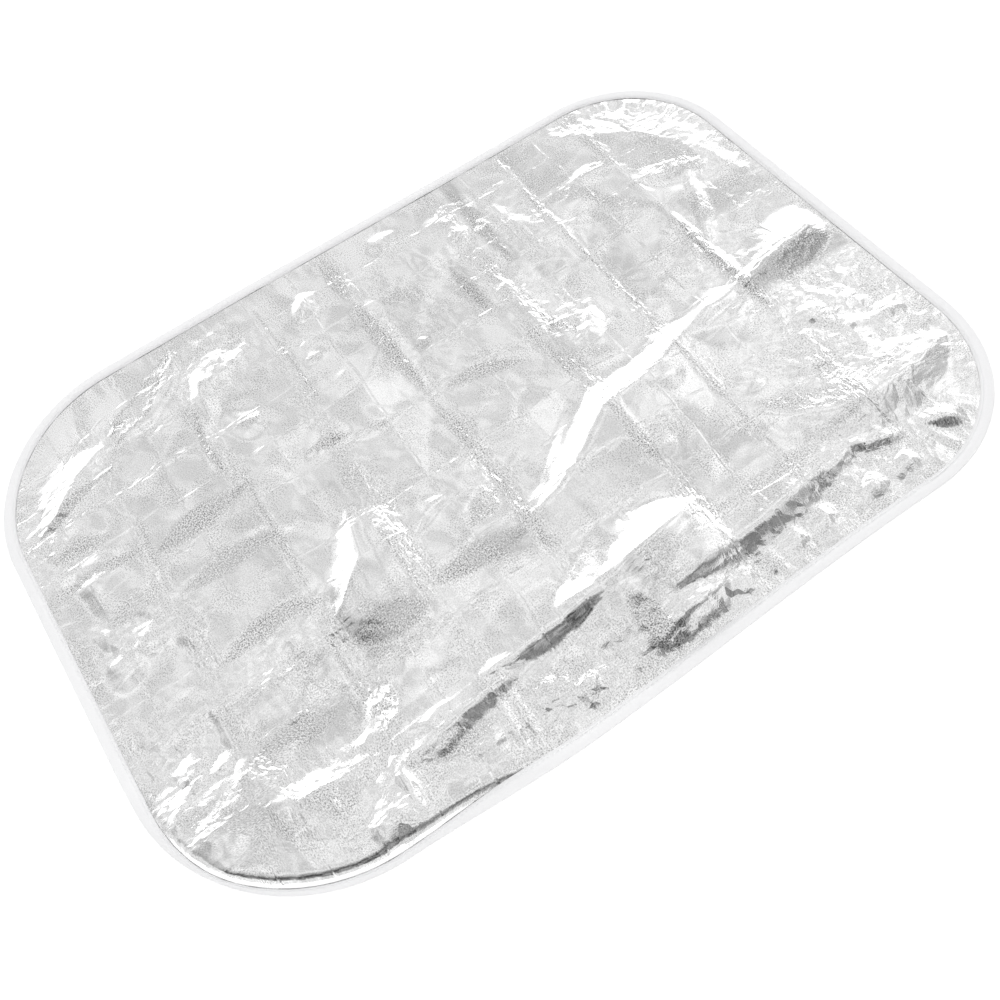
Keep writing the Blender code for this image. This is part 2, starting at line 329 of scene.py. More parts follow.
# %% Sizes of the cover
tape_low, tape_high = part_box("edge_binding")
HALF_LENGTH = round(tape_high.x - tape_low.x, 3) / 2
HALF_WIDTH = 306 * MM
RADIUS_FAR_RIGHT = 128 * MM
RADIUS_FAR_LEFT = 159 * MM
RADIUS_NEAR_LEFT = 166 * MM
RADIUS_NEAR_RIGHT = 148 * MM

CLOTH = 0.5 * MM
TAPE = 0.5 * MM
TAPE_REACH = 12 * MM
SLOT = 0.8 * MM
EDGE_INSET = 2 * MM
RIM = 14 * MM
HALF_STACK = SLOT / 2 + TAPE

TURN_ANGLE = math.radians(78)
TURN_START = -180 * MM
TURN_END = 300 * MM
TURN_RAMP = 165 * MM
SHOULDER = 9 * MM
DRAW_IN = 6 * MM
BACK_SLOPE = 130 * MM
print("plan", 2 * HALF_LENGTH, "by", 2 * HALF_WIDTH)

# %% [markdown]
# A place on the cover is worked out from its plan in three steps. `rim_of` says how far round and
# how far in it is. `turn_of` says how steeply the rim stands there. `sway` moves it by the little
# that the long edges are bent.

# %% Outline and rim
def smooth(t):
    """Rises from 0 to 1 as t does, level at both ends: t squared times (3 - 2 t)."""
    t = np.clip(t, 0, 1)
    return t * t * (3 - 2 * t)


def rim_of(u, v):
    """Splits plan parameters into a place on the outline and a distance in from it.

    Returns the outline's point, the direction in from it, the distance, and the place along the
    near left outline: 0 at the corner's middle and positive along the near edge.
    """
    side_x = np.where(u < 0, -1.0, 1.0)
    side_y = np.where(v < 0, -1.0, 1.0)
    far = np.where(u < 0, RADIUS_FAR_LEFT, RADIUS_FAR_RIGHT)
    near = np.where(u < 0, RADIUS_NEAR_LEFT, RADIUS_NEAR_RIGHT)
    radius = np.where(v < 0, near, far)
    over_x = np.abs(u) - (HALF_LENGTH - radius)
    over_y = np.abs(v) - (HALF_WIDTH - radius)
    corner = (over_x > 0) & (over_y > 0)
    ring = np.where(corner, np.maximum(over_x, over_y), 1)
    ratio = np.where(corner, np.minimum(over_x, over_y), 0) / ring
    angle = math.pi / 4 * ratio
    angle = np.where(over_y > over_x, math.pi / 2 - angle, angle)
    end_side = ~corner & (HALF_LENGTH - np.abs(u) < HALF_WIDTH - np.abs(v))
    long_side = ~corner & ~end_side

    out_x = np.where(corner, np.cos(angle), end_side) * side_x
    out_y = np.where(corner, np.sin(angle), long_side) * side_y
    inside = np.where(end_side, HALF_LENGTH - np.abs(u), HALF_WIDTH - np.abs(v))
    inside = np.where(corner, radius - ring, inside)
    edge_x = np.where(corner, side_x * (HALF_LENGTH - radius) + radius * out_x, u)
    edge_x = np.where(end_side, side_x * HALF_LENGTH, edge_x)
    edge_y = np.where(corner, side_y * (HALF_WIDTH - radius) + radius * out_y, v)
    edge_y = np.where(long_side, side_y * HALF_WIDTH, edge_y)

    quarter = math.pi / 4 * RADIUS_NEAR_LEFT
    along = np.where(corner & (u < 0) & (v < 0), RADIUS_NEAR_LEFT * (angle - math.pi / 4), -1.0)
    on_near = long_side & (v < 0)
    on_left = end_side & (u < 0)
    along = np.where(on_near, quarter + u + HALF_LENGTH - RADIUS_NEAR_LEFT, along)
    along = np.where(on_left, -quarter - (v + HALF_WIDTH - RADIUS_NEAR_LEFT), along)
    return edge_x, edge_y, -out_x, -out_y, inside, along


def turn_of(along):
    """Angle at which the rim stands up from the table, by its place along the near left outline."""
    rise = smooth((along - TURN_START) / TURN_RAMP)
    fall = smooth((TURN_END - along) / TURN_RAMP)
    return TURN_ANGLE * rise * fall


def sway(x, y):
    """Y of a point as the cover lies: each long edge is a cosine wave, which fades with the cube of reach."""
    far_edge = (1 + 3 * np.cos(math.pi * (x / MM + 215) / 495)) * MM
    near_edge = 4 * np.cos(math.pi * (x / MM - 230) / 340) * MM
    reach = np.abs(y) / HALF_WIDTH
    return y + np.where(y > 0, far_edge, near_edge) * reach**3


print("rim turned up to", round(math.degrees(TURN_ANGLE)), "degrees")

# %% [markdown]
# ## The creases
#
# Three things make the crinkled form. The first is the packing creases: straight ridges and valleys
# across the width, a hand's width apart, each pinched sharp along its line. The second is the list
# of folds that the photograph shows. Each is a crest over a path, and its two flanks are flat
# facets, because cloth under a coat of metal bends along lines and stays flat between them. The
# larger folds are in the packed solid too, at much the same places. The smaller wrinkles are a list
# of their own, because they lie on top of the folds and are made a fifth lower than they are given.

# %% Packing creases and folds
CREASES = (-318, -212, -115, -15, 112, 202, 297)
CREASE_HEIGHTS = (4.0, 2.0, 5.5, 1.5, 6.0, 1.5, 4.5)
EDGE_HEIGHT = 1.5
CREASE_LEAN = 0.03
PINCH = 1.1
PINCH_HALF_WIDTH = 7
WRINKLE_SHARE = 0.8

# A path in plan, the crest's height, and the widths of the flanks on its left and right, in mm
FOLDS = (
    # The long ridge behind the near edge, in short lengths
    ([(-230, -240), (-160, -231), (-92, -222)], 11, 50, 14),
    ([(-138, -215), (-70, -212), (-4, -210)], 10, 45, 13),
    ([(34, -248), (80, -242), (130, -240), (200, -233), (262, -231)], 10, 50, 22),
    ([(240, -223), (264, -238), (298, -249)], 6, 20, 6),
    ([(306, -243), (330, -258), (360, -279)], 8, 24, 8),
    # The broad facets that climb towards it
    ([(-44, -118), (20, -108), (66, -88), (105, -64), (150, -60), (204, -40), (262, -22)], 16, 40, 120),
    ([(-50, -198), (8, -205), (60, -201), (116, -186)], 17, 50, 120),
    ([(10, -204), (60, -200), (114, -184)], 5, 46, 60),
    ([(-222, -100), (-190, -84), (-158, -54), (-142, 4)], 12, 27, 95),
    ([(204, -140), (226, -172), (262, -195), (305, -202), (355, -198), (410, -182)], 11, 52, 34),
    ([(258, -34), (370, -14), (462, 8)], 12, 42, 28),
    # The far right corner: a curved fold, with the gathers of the edge behind it
    ([(414, 50), (396, 105), (368, 172), (345, 210), (300, 247), (262, 284)], 5, 44, 44),
    ([(294, 160), (330, 142), (378, 132)], 5, 22, 18),
    ([(244, 197), (270, 198), (300, 186)], 4, 15, 20),
    ([(300, 30), (324, 80), (350, 140)], 5, 7, 16),
    ([(200, 178), (250, 172), (288, 140), (300, 108)], 4, 26, 34),
    # The far left corner: a puffed finger and the lens beyond it
    ([(-392, 158), (-368, 166), (-336, 194), (-296, 214)], 8, 36, 13),
    ([(-322, 208), (-250, 213), (-212, 238), (-188, 286)], 3, 24, 6),
    # Creases of the second folding at the left end, each steeper towards the near edge
    ([(-414, 104), (-380, 104), (-338, 92)], 2.5, 16, 14),
    ([(-396, 124), (-362, 132), (-334, 126)], 4.5, 62, 22),
    ([(-412, -12), (-365, -8), (-312, -2)], 3, 24, 14),
    ([(-378, 30), (-345, 46), (-312, 52)], 5, 66, 26),
    ([(-312, 70), (-270, 88), (-196, 92)], 5, 76, 24),
    ([(-307, 26), (-250, 36), (-200, 33)], 4.5, 76, 24),
    ([(-318, -62), (-290, -52), (-240, -46), (-196, -54)], 5.5, 76, 26),
    # The near left quarter
    ([(-328, -126), (-290, -122), (-252, -112)], 4, 60, 24),
    ([(-254, -94), (-232, -100), (-212, -100)], 5, 22, 20),
    ([(-306, -150), (-244, -148)], 6, 60, 34),
    ([(-410, -118), (-350, -92), (-326, -84)], 4, 60, 24),
    ([(-334, -204), (-300, -214), (-268, -218), (-236, -218)], 7, 18, 20),
    ([(-270, -260), (-250, -270), (-230, -283)], 6, 26, 34),
    # The middle
    ([(-206, -104), (-170, -100), (-128, -102)], 3, 70, 50),
    ([(-112, -104), (-60, -98), (-14, -102)], 6, 70, 34),
    ([(-6, 66), (24, 68), (50, 60)], 4, 60, 20),
)

# The same for the smaller wrinkles that lie over the folds
WRINKLES = (
    ([(60, -250), (150, -242), (230, -234), (296, -214)], 2, 13, 12),
    ([(-133, -142), (-128, 10)], 4, 15, 20),
    ([(-332, -236), (-330, -150), (-329, -74)], 3, 8, 8),
    ([(-10, 58), (-9, 160), (-8, 272)], 1.8, 12, 12),
    ([(94, 106), (93, 184)], 1.8, 13, 10),
    ([(136, 146), (142, 220), (151, 292)], 1.6, 12, 14),
    ([(180, 105), (174, 150), (165, 250)], 1.2, 5, 8),
    ([(201, 40), (203, 150), (206, 272)], 1.8, 5, 5),
    ([(300, -76), (299, 20), (298, 112)], 3.4, 14, 8),
    ([(98, 20), (100, 100)], 3, 3, 20),
    ([(226, -44), (250, -30), (290, -22)], 6, 24, 12),
    ([(245, -108), (270, -138), (298, -146)], 3, 20, 7),
    ([(300, -90), (322, -88), (338, -90)], 6, 12, 22),
    ([(345, -134), (375, -132), (410, -138)], 4, 12, 12),
    ([(196, -280), (240, -278), (275, -276), (325, -286)], 3, 20, 5),
    ([(-4, -278), (34, -272), (84, -264)], 10, 20, 26),
    ([(90, -296), (104, -262)], 5, 20, 12),
    ([(118, -298), (128, -264)], 5, 16, 11),
    ([(142, -300), (158, -258)], 7, 20, 14),
    ([(176, -300), (190, -256)], 7, 20, 14),
    ([(232, -300), (244, -254)], 6, 20, 12),
    ([(272, -298), (280, -254)], 6, 20, 12),
    ([(-137, -302), (-131, -222)], 5, 8, 9),
    ([(-124, -300), (-120, -230)], 4, 6, 8),
    ([(-122, -262), (-96, -255), (-74, -246)], 5, 20, 30),
    ([(-84, -284), (-58, -274), (-40, -262)], 5, 20, 28),
    ([(-80, -298), (-64, -274), (-50, -252)], 4, 14, 6),
    ([(-52, -292), (-30, -284), (-12, -272)], 4, 12, 6),
    ([(-62, -70), (-40, -60), (-18, -66)], 4.5, 50, 26),
    ([(-110, -66), (-84, -50), (-58, -46)], 4, 16, 10),
    ([(-229, -280), (-228, -224)], 6, 7, 9),
    ([(-226, -214), (-190, -222), (-160, -214)], 3, 12, 6),
    ([(-216, -244), (-186, -246), (-160, -240)], 4, 8, 7),
    ([(-386, -142), (-366, -142), (-352, -128)], 5, 24, 10),
    ([(-352, -148), (-334, -148)], 4, 15, 14),
    ([(-412, -170), (-396, -172), (-386, -150)], 4, 12, 12),
    ([(-412, -126), (-388, -120)], 4, 10, 8),
    ([(-396, -164), (-360, -150), (-336, -152)], 3.5, 12, 14),
    ([(124, 20), (142, 20), (160, 40), (170, 58)], 6, 13, 17),
    ([(-70, 222), (-54, 248), (-40, 250)], 5, 12, 16),
    ([(-200, 150), (-196, 205), (-182, 244)], 4, 10, 15),
    ([(-190, 214), (-160, 222), (-136, 236)], 4, 30, 24),
    ([(-218, 104), (-216, 150), (-206, 205)], 3, 7, 16),
    ([(-95, 174), (-66, 174)], 2.5, 12, 7),
    ([(-148, 74), (-118, 80), (-96, 66)], 3.5, 22, 10),
    ([(-100, 66), (-50, 64)], 3, 26, 13),
    ([(100, 118), (126, 126)], 3, 10, 14),
    ([(104, -128), (134, -126)], 2, 14, 14),
    ([(8, 120), (20, 128)], 3, 8, 10),
    ([(104, 210), (132, 220)], 2.5, 12, 8),
    ([(-186, 132), (-156, 150)], 3, 40, 16),
    ([(-132, 146), (-96, 128), (-60, 140)], 2.5, 24, 14),
    ([(30, 262), (52, 262), (60, 250)], 3, 24, 20),
    ([(60, 196), (88, 200)], 2.5, 40, 20),
    ([(150, 130), (190, 118)], 3, 24, 16),
    ([(214, 118), (250, 132), (286, 118)], 4, 34, 22),
    ([(210, 60), (250, 54), (280, 60)], 3.5, 26, 18),
    ([(216, -44), (250, -56), (290, -40)], 5, 30, 26),
    ([(148, -70), (190, -72)], 3, 26, 18),
    ([(210, -110), (238, -128)], 3, 16, 14),
    ([(-400, -28), (-358, -22)], 3, 26, 16),
    ([(-330, -20), (-300, -30)], 3, 20, 16),
    ([(-390, 80), (-350, 78)], 3, 14, 14),
    ([(-240, -204), (-200, -200), (-150, -196)], 3.5, 34, 18),
    ([(-320, -236), (-270, -232)], 4, 26, 20),
    ([(-390, -200), (-350, -206)], 4, 24, 20),
    ([(-176, -262), (-140, -262)], 3.5, 20, 16),
    ([(0, -232), (30, -228)], 3, 12, 14),
    ([(350, -92), (376, -78), (404, -70)], 3.5, 14, 8),
)
print("folds:", len(FOLDS), "wrinkles:", len(WRINKLES))

# %% [markdown]
# A fold has its full height only in the middle of its path. Towards both ends it gets lower and
# narrower together, as a tuck in cloth does, so its flanks keep one slope and one reflection.

# %% One fold
def fold_height(x, y, path, height, left, right):
    """Height of one fold in mm: a tent across its path, pointed at its two ends.

    Each point takes its nearest place on the path. There the crest is `height` times a rounded sine
    of the share of the path's length, and both flanks narrow with it, so that they keep their slope.
    """
    corners = np.array(path, float)
    steps = np.diff(corners, axis=0)
    lengths = np.hypot(steps[:, 0], steps[:, 1])
    starts = np.concatenate([[0], np.cumsum(lengths)])
    nearest = np.full(x.shape, np.inf)
    share = np.zeros(x.shape)
    side = np.zeros(x.shape)
    for corner, step, length, start in zip(corners, steps, lengths, starts):
        along = np.clip(((x - corner[0]) * step[0] + (y - corner[1]) * step[1]) / length**2, 0, 1)
        away_x = x - corner[0] - along * step[0]
        away_y = y - corner[1] - along * step[1]
        distance = np.hypot(away_x, away_y)
        closer = distance < nearest
        nearest = np.where(closer, distance, nearest)
        share = np.where(closer, (start + along * length) / starts[-1], share)
        side = np.where(closer, step[0] * away_y - step[1] * away_x, side)
    profile = np.sin(math.pi * share) ** 0.8 + 1e-6
    flank = np.where(side > 0, left, right) * profile
    return height * profile * np.clip(1 - nearest / flank, 0, 1)


crest = fold_height(np.array([50.0]), np.array([0.0]), [(0, 0), (100, 0)], 10, 20, 20)
print("crest of a 10 mm fold:", float(crest[0]), "mm")

# %% [markdown]
# The packing folded the cover both ways, so its creases cross in a grid of panels. Each crossing
# stands a little higher or lower than flat, and each panel between them breaks along a diagonal
# into two flat triangles.

# %% Panels between the creases
def hashed(column, row, seed):
    """Two random numbers from 0 to 1 for a column and row: what a huge sine has behind its point."""
    mixed = np.sin(column * 127.1 + row * 311.7 + seed * 74.7) * 43758.5453
    other = np.sin(column * 269.5 + row * 183.3 + seed * 246.1) * 28001.8384
    return mixed - np.floor(mixed), other - np.floor(other)


PANEL_X = (-425, -372, -318, -265, -212, -163, -115, -62, -15, 48, 112, 158, 202, 250, 297, 358, 425)
PANEL_Y = (-306, -262, -215, -150, -100, -55, -15, 60, 110, 155, 200, 250, 306)
PANEL_HEIGHT = 3.0


def panel_phase(x, y):
    """Which panel a point is in, counted along X and along Y: whole numbers are the crease lines."""
    return np.interp(x, PANEL_X, np.arange(len(PANEL_X))), np.interp(y, PANEL_Y, np.arange(len(PANEL_Y)))


def panels(x, y):
    """Height of the panels: random at the crossings, flat over each half panel."""
    phase_x, phase_y = panel_phase(x, y)
    column, row = np.floor(phase_x), np.floor(phase_y)
    part_x, part_y = phase_x - column, phase_y - row
    low = hashed(column, row, 41)[0]
    corner_x = hashed(column + 1, row, 41)[0]
    corner_y = hashed(column, row + 1, 41)[0]
    high = hashed(column + 1, row + 1, 41)[0]
    below = low + part_x * (corner_x - low) + part_y * (high - corner_x)
    above = low + part_y * (corner_y - low) + part_x * (high - corner_y)
    return PANEL_HEIGHT * (2 * np.where(part_x > part_y, below, above) - 1)


print("panels:", (len(PANEL_X) - 1) * (len(PANEL_Y) - 1))

# %% [markdown]
# The third is the small crumple. Take a scatter of random points, and the squared distance from
# anywhere to the nearest of them. Take a second scatter, and subtract. The two squares cancel, so
# what is left is flat inside every pair of cells: a surface of flat facets with sharp edges, up and
# down alike, which is just how crumpled foil looks. Warping the plan first bends the edges a little.

# %% Crumple made of flat facets
def nearest_square(x, y, seed):
    """Squared distance to the nearest of the points scattered one to each unit cell."""
    column, row = np.floor(x), np.floor(y)
    best = np.full(x.shape, np.inf)
    for step_x in (-1, 0, 1):
        for step_y in (-1, 0, 1):
            shift_x, shift_y = hashed(column + step_x, row + step_y, seed)
            away = (column + step_x + shift_x - x) ** 2 + (row + step_y + shift_y - y) ** 2
            best = np.minimum(best, away)
    return best


def facets(x, y, size, seed):
    """Flat random facets about `size` across: between -1 and 1, with sharp edges."""
    warp_x = 0.16 * np.sin(y / size * 1.7 + seed) + 0.07 * np.sin(y / size * 4.1 + seed * 2)
    warp_y = 0.16 * np.sin(x / size * 1.9 + seed * 3) + 0.07 * np.sin(x / size * 3.7 + seed)
    column, row = x / size + warp_x, y / size + warp_y
    return nearest_square(column, row, seed) - nearest_square(column, row, seed + 11)


def bumps(t, seed):
    """A smooth random line between -1 and 1, with one turn for each whole step of t."""
    low = np.floor(t)
    start, _ = hashed(low, 0 * low, seed)
    stop, _ = hashed(low + 1, 0 * low, seed)
    return 2 * (start + (stop - start) * smooth(t - low)) - 1


sample = facets(np.linspace(0, 500, 200), np.linspace(0, 90, 200), 40, 1)
print("facets from", round(float(sample.min()), 2), "to", round(float(sample.max()), 2))

# %% [markdown]
# Crumple isn't even. It is dense in the strips of the packing creases, along the near edge and at
# the two ends, and almost nothing on the smooth panels between. A sum of soft spots gives its share
# at every point. The same share later drives the fine crumple in the material.

# %% Where the cloth is crumpled
# Centre, half-length along X, half-length along Y (mm) and strength
CRUMPLED = (
    (-395, 160, 40, 60, 0.7),
    (-340, 215, 70, 35, 0.5),
    (-165, 240, 50, 40, 0.9),
    (-365, 10, 60, 25, 0.8),
    (-385, -140, 45, 60, 0.8),
    (-270, -95, 60, 30, 0.6),
    (-250, -240, 60, 45, 0.8),
    (-60, -265, 130, 35, 0.7),
    (90, -275, 120, 25, 0.6),
    (260, -255, 110, 35, 0.7),
    (350, -110, 70, 80, 1.0),
    (300, 30, 30, 60, 0.8),
    (385, 190, 45, 110, 0.9),
    (330, 270, 80, 30, 0.9),
    (140, 50, 40, 40, 0.8),
    (150, 180, 60, 90, 0.5),
    (15, 150, 60, 110, 0.35),
)


def straightened(x, y):
    """X with the lean of the packing creases taken out, so that each crease has one X."""
    return x - CREASE_LEAN * y * (1 - (x * MM / HALF_LENGTH) ** 2)


def crumple_share(x, y):
    """How crumpled the cloth is over plan points in mm, from 0 to 1."""
    share = np.full(x.shape, 0.05)
    for centre_x, centre_y, half_x, half_y, strength in CRUMPLED:
        spot = ((x - centre_x) / half_x) ** 2 + ((y - centre_y) / half_y) ** 2
        share = np.maximum(share, strength * np.exp(-spot))
    return np.clip(share, 0, 1)


print("crumpled spots:", len(CRUMPLED))

# %% [markdown]
# The coat's colour also carries painted shade. In narrow runs beside the creases it is darkened where
# the folds would show the dim end of the studio, and there it is a little rougher and grainier too.
# That is a list of paths, each with a reach and a strength. Some whole panels are darkened all over,
# ending straight at a crease: painted shade for facets that lean towards the dim end. That is a list
# of boxes, whose shade slides from left to right.

# %% Where shade is painted on the coat
# Runs of painted shade beside the creases: a path in plan, its reach left and right of it (mm), how dark
PAINTED_SHADE_RUNS = (
    ([(-17, -160), (-16, -90), (-15, -20)], 8, 8, 0.6),
    ([(-15, -30), (-15, 20), (-16, 62)], 7, 9, 0.7),
    ([(-13, 56), (-15, 120), (-15, 222)], 11, 9, 0.9),
    ([(-15, 214), (-16, 250), (-13, 296)], 9, 11, 0.7),
    ([(296, -76), (297, 10), (298, 96)], 8, 8, 1.0),
    ([(140, 140), (141, 220), (143, 296)], 9, 9, 0.8),
    ([(86, 104), (86, 190)], 7, 7, 0.9),
    ([(103, 92), (101, 20), (103, -20)], 6, 6, 0.6),
    ([(106, -56), (108, -152)], 8, 8, 0.8),
    ([(197, -206), (198, -20)], 4, 4, 0.6),
    ([(203, -20), (204, 130), (206, 276)], 3, 3, 0.9),
    ([(-214, 100), (-218, 152), (-208, 200)], 4, 4, 1.0),
    ([(-210, -64), (-206, 30), (-203, 106)], 3.5, 3.5, 0.8),
    ([(-102, 110), (-101, 294)], 2.5, 2.5, 0.7),
    ([(-131, -140), (-129, -10)], 3, 3, 0.8),
    ([(-222, -190), (-219, -90)], 4, 4, 0.6),
    ([(-312, 50), (-306, 128)], 4, 4, 0.6),
    ([(-318, 70), (-255, 78), (-198, 84)], 14, 14, 1.0),
    ([(-312, 18), (-250, 22), (-198, 20)], 13, 13, 0.8),
    ([(-396, 122), (-362, 124), (-330, 116)], 10, 10, 0.8),
    ([(-412, 90), (-360, 88), (-304, 82)], 8, 8, 0.8),
    ([(-378, 28), (-345, 34), (-312, 40)], 13, 13, 0.6),
    ([(-312, -70), (-270, -58), (-240, -56), (-198, -68)], 11, 13, 0.9),
    ([(-326, -168), (-280, -166), (-238, -160)], 15, 15, 0.7),
    ([(-210, -120), (-165, -120), (-122, -128)], 17, 22, 0.8),
    ([(-122, -116), (-70, -114), (-14, -120)], 13, 16, 0.8),
    ([(-64, -90), (-40, -76), (-18, -62)], 13, 15, 0.9),
    ([(-2, 60), (36, 54), (80, 34)], 10, 11, 1.0),
    ([(-146, 80), (-120, 75), (-94, 70)], 6, 6, 0.9),
    ([(-98, 66), (-70, 60), (-44, 60)], 4, 4, 0.7),
    ([(122, 76), (127, 50), (142, 26)], 7, 7, 0.9),
    ([(124, 16), (138, -2), (156, -14)], 10, 10, 0.6),
    ([(292, 250), (326, 196), (356, 124)], 32, 36, 0.35),
    ([(312, 84), (360, 86), (410, 70)], 20, 20, 0.35),
    ([(294, -30), (350, -33), (412, -24)], 18, 18, 0.6),
    ([(200, -126), (240, -166), (282, -185), (340, -187), (412, -164)], 15, 15, 0.6),
    ([(90, -208), (200, -208), (310, -200)], 9, 9, 0.5),
    ([(204, 198), (240, 190), (266, 156)], 11, 13, 0.6),
    ([(246, 176), (272, 140), (300, 108)], 9, 11, 0.6),
    ([(160, 96), (180, 84), (200, 92)], 14, 14, 0.4),
    ([(-404, 174), (-376, 163), (-345, 188), (-306, 208)], 8, 8, 0.9),
    ([(-314, 208), (-250, 222), (-188, 290)], 4, 4, 1.0),
    ([(-302, 232), (-255, 246), (-194, 286)], 3, 3, 0.8),
    ([(-306, 216), (-250, 232), (-192, 288)], 9, 7, 0.45),
    ([(-300, 226), (-284, 229), (-266, 228)], 6, 6, 1.6),
    ([(-186, 150), (-168, 146), (-150, 162)], 8, 8, 0.8),
    ([(-176, 182), (-138, 176)], 4, 4, 0.7),
    ([(-96, 174), (-60, 176)], 4, 4, 0.6),
    ([(0, 124), (14, 118), (26, 128)], 6, 6, 0.7),
    ([(-330, -222), (-290, -234), (-244, -224)], 15, 15, 0.5),
    ([(-398, -176), (-370, -216), (-336, -256)], 16, 16, 0.4),
    ([(-200, -252), (-160, -246), (-136, -250)], 10, 10, 0.5),
    ([(-118, -236), (-84, -250), (-44, -256)], 12, 16, 0.5),
    ([(6, -220), (10, -260), (14, -296)], 14, 16, 0.9),
    ([(108, -252), (118, -272), (128, -294)], 10, 10, 0.4),
)


# Whole panels with painted shade: the plan box (mm), the shade at its left and right
SHADED_PANELS = (
    (128, 148, 146, 294, 0.5, 1.0),
    (148, 200, 100, 200, 0.5, 0.0),
    (100, 126, -14, 100, 0.2, 0.9),
    (60, 94, 104, 196, 0.0, 0.7),
    (0, 60, 110, 196, 0.5, 0.1),
    (-60, -24, 100, 290, 0.0, 0.5),
    (205, 296, 100, 200, 0.1, 0.6),
    (205, 296, 20, 100, 0.6, 0.2),
    (205, 262, 205, 290, 0.6, 0.1),
    (300, 372, 130, 250, 0.2, 0.8),
    (310, 404, 62, 104, 0.7, 0.3),
    (300, 410, -48, -14, 0.6, 0.9),
    (-315, -262, 100, 205, 0.0, 0.5),
    (-262, -216, 100, 205, 0.0, 0.3),
    (-200, -152, 60, 200, 0.3, 0.0),
    (-152, -106, -14, 60, 0.6, 0.0),
    (-310, -206, -14, 62, 0.0, 0.4),
    (-200, -132, -150, -62, 0.7, 0.3),
    (-330, -222, -186, -104, 0.2, 0.6),
    (-400, -332, -280, -180, 0.3, 0.6),
    (-200, -140, -292, -236, 0.5, 0.2),
    (-104, -20, -140, -100, 0.2, 0.7),
    (112, 196, -200, -104, 0.5, 0.1),
    (26, 100, -246, -200, 0.6, 0.2),
)
PANEL_SHADE_EDGE = 3


def painted_shade_of(x, y):
    """How much shade is painted over plan points in mm: 0 for none, 1 and more in the darkest runs."""
    dull = np.zeros(x.shape)
    for path, left, right, depth in PAINTED_SHADE_RUNS:
        dull = np.maximum(dull, depth * np.clip(3 * fold_height(x, y, path, 1.0, left, right), 0, 1))
    return dull


def panel_shade_of(x, y):
    """How much shade is painted over plan points in mm: even over a panel, with straight edges."""
    panel_shade = np.zeros(x.shape)
    for x_low, x_high, y_low, y_high, at_left, at_right in SHADED_PANELS:
        within = np.minimum(np.minimum(x - x_low, x_high - x), np.minimum(y - y_low, y_high - y))
        slide = np.interp(x, (x_low, x_high), (at_left, at_right))
        panel_shade = np.maximum(panel_shade, slide * np.clip(within / PANEL_SHADE_EDGE, 0, 1))
    return panel_shade


def crease_strip(across, along, creases, reach, seed):
    """Share of the fine zigzags beside straight creases: strong in some stretches, none in others."""
    share = np.zeros(across.shape)
    for number, crease in enumerate(creases):
        wave = np.clip(0.45 + 0.9 * bumps(along / 48, seed + number), 0, 1)
        shift = 0.5 * reach * bumps(along / 31, seed + 40 + number)
        width = reach * (0.6 + 0.6 * wave)
        share = np.maximum(share, wave * np.clip(1.8 - 1.8 * np.abs(across - crease - shift) / width, 0, 1))
    return share


print("dull runs:", len(PAINTED_SHADE_RUNS), "panels with a tone:", len(SHADED_PANELS))

# %% [markdown]
# All of this adds up to one height for each place. The broad shape goes in straight lines from
# crease to crease, carries the panels, and comes down to the tape over a hand's width. Folds,
# facets, pinches and wrinkles lie on it, and keep their height nearly up to the tape. Where a fold
# draws the cloth tight, the facets fade. Along the tape the sewing gathers the cloth into short
# wrinkles of their own.

# %% The height of the creased cloth
# How far in from the tape the broad shape and the folds have their full height, in mm
BROAD_REACH = 100
FOLD_REACH = 26
# Facets: their size in mm, their height on smooth cloth, and what full crumple adds to it
LARGE_FACETS = (38, 1.7, 2.8)
SMALL_FACETS = (19, 0.0, 2.2)
# How high the facets are from the near edge to the far one: Y in mm, and the share at each
FACET_Y = (-280, -180, 0, 220)
FACET_SHARE = (0.4, 1.0, 0.9, 0.6)
# The fold's height at which the cloth is drawn tight, and what that takes off its facets
TIGHT_FOLD = 5
TIGHT_LOSS = 0.8


def crumple(x, y, inside):
    """Height of the creased cloth over plan points, `inside` from the held strip, in metres.

    The sheet's broad shape comes down to the tape over a hand's width, and its folds at once.
    """
    x, y, inside = x / MM, y / MM, inside / MM
    half = HALF_LENGTH / MM
    straight = straightened(x, y)
    share = crumple_share(x, y)
    edges = (EDGE_HEIGHT,)
    broad = np.interp(straight, (-half, *CREASES, half), edges + CREASE_HEIGHTS + edges)
    broad = (broad + panels(straight, y)) * smooth(inside / BROAD_REACH)
    folded = np.zeros(x.shape)
    for fold in FOLDS:
        folded = folded + fold_height(x, y, *fold)
    loose = 1 - TIGHT_LOSS * np.clip(folded / TIGHT_FOLD, 0, 1)
    broad = broad * (0.4 + 0.6 * loose)
    height = 0
    for seed, (size, smooth_height, added) in ((5, LARGE_FACETS), (8, SMALL_FACETS)):
        height = height + (smooth_height + added * share) * facets(x, y, size, seed)
    height = folded + loose * height * np.interp(y, FACET_Y, FACET_SHARE)
    for number, crease in enumerate(CREASES):
        pinch = PINCH * (0.5 + 0.5 * bumps(y / 45, 60 + number))
        height = height + pinch * np.clip(1 - np.abs(straight - crease) / PINCH_HALF_WIDTH, 0, 1)
    for path, crest, left, right in WRINKLES:
        height = height + WRINKLE_SHARE * fold_height(x, y, path, crest, left, right)
    return (np.maximum(broad, 0) + height * smooth(inside / FOLD_REACH)) * MM


GATHER_PITCH = 10 * MM
GATHER_SPELL = 70 * MM
GATHER_REACH = 30 * MM
GATHER_HEIGHT = 1.3 * MM
CORNER_GATHERS = 2.3


